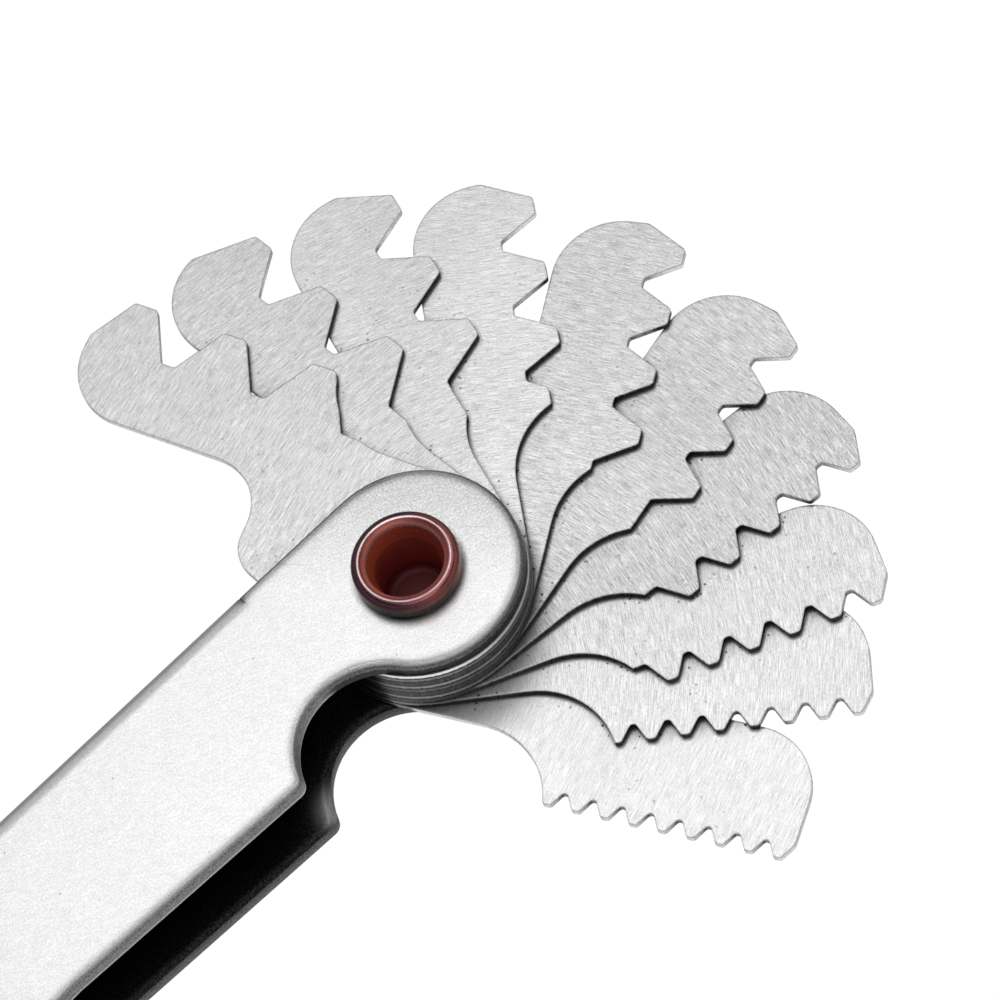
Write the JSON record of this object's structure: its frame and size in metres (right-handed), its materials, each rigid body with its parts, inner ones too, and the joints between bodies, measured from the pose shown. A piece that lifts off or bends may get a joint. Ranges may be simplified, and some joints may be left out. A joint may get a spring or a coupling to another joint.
{
  "type": "thread pitch gauge",
  "caption": "Pocket screw thread pitch gauge: toothed steel leaves that fan out on a rivet at each end of a folded sheet handle.",
  "frame": {"origin": "on the coarse rivet's axis, at the flat underside of its head, the lowest face of the gauge", "axes": "+Z square to the leaves and out through the rolled rims, +X along the handle from the fine rivet to the coarse rivet, +Y towards the folded spine, so the open side of the handle faces -Y"},
  "size_m": [0.0951, 0.0534, 0.009],
  "materials": {
    "nickel_plate": "satin nickel plate over folded steel sheet",
    "leaf_steel": "bright ground spring steel, grain across the blade",
    "dark_copper": "dark oxidised copper plate, worn bright on the rim"
  },
  "bodies": {
    "handle": {"handle_channel": "nickel_plate", "coarse_rivet": "dark_copper", "fine_rivet": "dark_copper"},
    "coarse_leaf_6_00": {"coarse_leaf_6_00": "leaf_steel"},
    "coarse_leaf_5_50": {"coarse_leaf_5_50": "leaf_steel"},
    "coarse_leaf_5_00": {"coarse_leaf_5_00": "leaf_steel"},
    "coarse_leaf_4_50": {"coarse_leaf_4_50": "leaf_steel"},
    "coarse_leaf_4_00": {"coarse_leaf_4_00": "leaf_steel"},
    "coarse_leaf_3_50": {"coarse_leaf_3_50": "leaf_steel"},
    "coarse_leaf_3_00": {"coarse_leaf_3_00": "leaf_steel"},
    "coarse_leaf_2_50": {"coarse_leaf_2_50": "leaf_steel"},
    "coarse_leaf_2_00": {"coarse_leaf_2_00": "leaf_steel"},
    "coarse_leaf_1_75": {"coarse_leaf_1_75": "leaf_steel"},
    "fine_leaf_1_50": {"fine_leaf_1_50": "leaf_steel"},
    "fine_leaf_1_25": {"fine_leaf_1_25": "leaf_steel"},
    "fine_leaf_1_00": {"fine_leaf_1_00": "leaf_steel"},
    "fine_leaf_0_90": {"fine_leaf_0_90": "leaf_steel"},
    "fine_leaf_0_80": {"fine_leaf_0_80": "leaf_steel"},
    "fine_leaf_0_75": {"fine_leaf_0_75": "leaf_steel"},
    "fine_leaf_0_70": {"fine_leaf_0_70": "leaf_steel"},
    "fine_leaf_0_60": {"fine_leaf_0_60": "leaf_steel"},
    "fine_leaf_0_50": {"fine_leaf_0_50": "leaf_steel"},
    "fine_leaf_0_45": {"fine_leaf_0_45": "leaf_steel"},
    "fine_leaf_0_40": {"fine_leaf_0_40": "leaf_steel"},
    "fine_leaf_0_35": {"fine_leaf_0_35": "leaf_steel"},
    "fine_leaf_0_30": {"fine_leaf_0_30": "leaf_steel"},
    "fine_leaf_0_25": {"fine_leaf_0_25": "leaf_steel"}
  },
  "joints": [
    {"name": "coarse_leaf_6_00_swing", "type": "hinge", "parent": "handle", "child": "coarse_leaf_6_00", "pos_m": [0, 0, 0.00425], "axis": [0, 0, 1], "range_deg": [-267.2, 8.8]},
    {"name": "coarse_leaf_5_50_swing", "type": "hinge", "parent": "handle", "child": "coarse_leaf_5_50", "pos_m": [0, 0, 0.00425], "axis": [0, 0, 1], "range_deg": [-249.4, 26.6]},
    {"name": "coarse_leaf_5_00_swing", "type": "hinge", "parent": "handle", "child": "coarse_leaf_5_00", "pos_m": [0, 0, 0.00425], "axis": [0, 0, 1], "range_deg": [-230.3, 45.7]},
    {"name": "coarse_leaf_4_50_swing", "type": "hinge", "parent": "handle", "child": "coarse_leaf_4_50", "pos_m": [0, 0, 0.00425], "axis": [0, 0, 1], "range_deg": [-211.7, 64.3]},
    {"name": "coarse_leaf_4_00_swing", "type": "hinge", "parent": "handle", "child": "coarse_leaf_4_00", "pos_m": [0, 0, 0.00425], "axis": [0, 0, 1], "range_deg": [-189.5, 86.5]},
    {"name": "coarse_leaf_3_50_swing", "type": "hinge", "parent": "handle", "child": "coarse_leaf_3_50", "pos_m": [0, 0, 0.00425], "axis": [0, 0, 1], "range_deg": [-168.7, 107.3]},
    {"name": "coarse_leaf_3_00_swing", "type": "hinge", "parent": "handle", "child": "coarse_leaf_3_00", "pos_m": [0, 0, 0.00425], "axis": [0, 0, 1], "range_deg": [-150, 126]},
    {"name": "coarse_leaf_2_50_swing", "type": "hinge", "parent": "handle", "child": "coarse_leaf_2_50", "pos_m": [0, 0, 0.00425], "axis": [0, 0, 1], "range_deg": [-130.5, 145.5]},
    {"name": "coarse_leaf_2_00_swing", "type": "hinge", "parent": "handle", "child": "coarse_leaf_2_00", "pos_m": [0, 0, 0.00425], "axis": [0, 0, 1], "range_deg": [-115.4, 160.6]},
    {"name": "coarse_leaf_1_75_swing", "type": "hinge", "parent": "handle", "child": "coarse_leaf_1_75", "pos_m": [0, 0, 0.00425], "axis": [0, 0, 1], "range_deg": [-94.1, 181.9]},
    {"name": "fine_leaf_1_50_swing", "type": "hinge", "parent": "handle", "child": "fine_leaf_1_50", "pos_m": [-0.062, 0, 0.00425], "axis": [0, 0, -1], "range_deg": [0, 276]},
    {"name": "fine_leaf_1_25_swing", "type": "hinge", "parent": "handle", "child": "fine_leaf_1_25", "pos_m": [-0.062, 0, 0.00425], "axis": [0, 0, -1], "range_deg": [0, 276]},
    {"name": "fine_leaf_1_00_swing", "type": "hinge", "parent": "handle", "child": "fine_leaf_1_00", "pos_m": [-0.062, 0, 0.00425], "axis": [0, 0, -1], "range_deg": [0, 276]},
    {"name": "fine_leaf_0_90_swing", "type": "hinge", "parent": "handle", "child": "fine_leaf_0_90", "pos_m": [-0.062, 0, 0.00425], "axis": [0, 0, -1], "range_deg": [0, 276]},
    {"name": "fine_leaf_0_80_swing", "type": "hinge", "parent": "handle", "child": "fine_leaf_0_80", "pos_m": [-0.062, 0, 0.00425], "axis": [0, 0, -1], "range_deg": [0, 276]},
    {"name": "fine_leaf_0_75_swing", "type": "hinge", "parent": "handle", "child": "fine_leaf_0_75", "pos_m": [-0.062, 0, 0.00425], "axis": [0, 0, -1], "range_deg": [0, 276]},
    {"name": "fine_leaf_0_70_swing", "type": "hinge", "parent": "handle", "child": "fine_leaf_0_70", "pos_m": [-0.062, 0, 0.00425], "axis": [0, 0, -1], "range_deg": [0, 276]},
    {"name": "fine_leaf_0_60_swing", "type": "hinge", "parent": "handle", "child": "fine_leaf_0_60", "pos_m": [-0.062, 0, 0.00425], "axis": [0, 0, -1], "range_deg": [0, 276]},
    {"name": "fine_leaf_0_50_swing", "type": "hinge", "parent": "handle", "child": "fine_leaf_0_50", "pos_m": [-0.062, 0, 0.00425], "axis": [0, 0, -1], "range_deg": [0, 276]},
    {"name": "fine_leaf_0_45_swing", "type": "hinge", "parent": "handle", "child": "fine_leaf_0_45", "pos_m": [-0.062, 0, 0.00425], "axis": [0, 0, -1], "range_deg": [0, 276]},
    {"name": "fine_leaf_0_40_swing", "type": "hinge", "parent": "handle", "child": "fine_leaf_0_40", "pos_m": [-0.062, 0, 0.00425], "axis": [0, 0, -1], "range_deg": [0, 276]},
    {"name": "fine_leaf_0_35_swing", "type": "hinge", "parent": "handle", "child": "fine_leaf_0_35", "pos_m": [-0.062, 0, 0.00425], "axis": [0, 0, -1], "range_deg": [0, 276]},
    {"name": "fine_leaf_0_30_swing", "type": "hinge", "parent": "handle", "child": "fine_leaf_0_30", "pos_m": [-0.062, 0, 0.00425], "axis": [0, 0, -1], "range_deg": [0, 276]},
    {"name": "fine_leaf_0_25_swing", "type": "hinge", "parent": "handle", "child": "fine_leaf_0_25", "pos_m": [-0.062, 0, 0.00425], "axis": [0, 0, -1], "range_deg": [0, 276]}
  ]
}
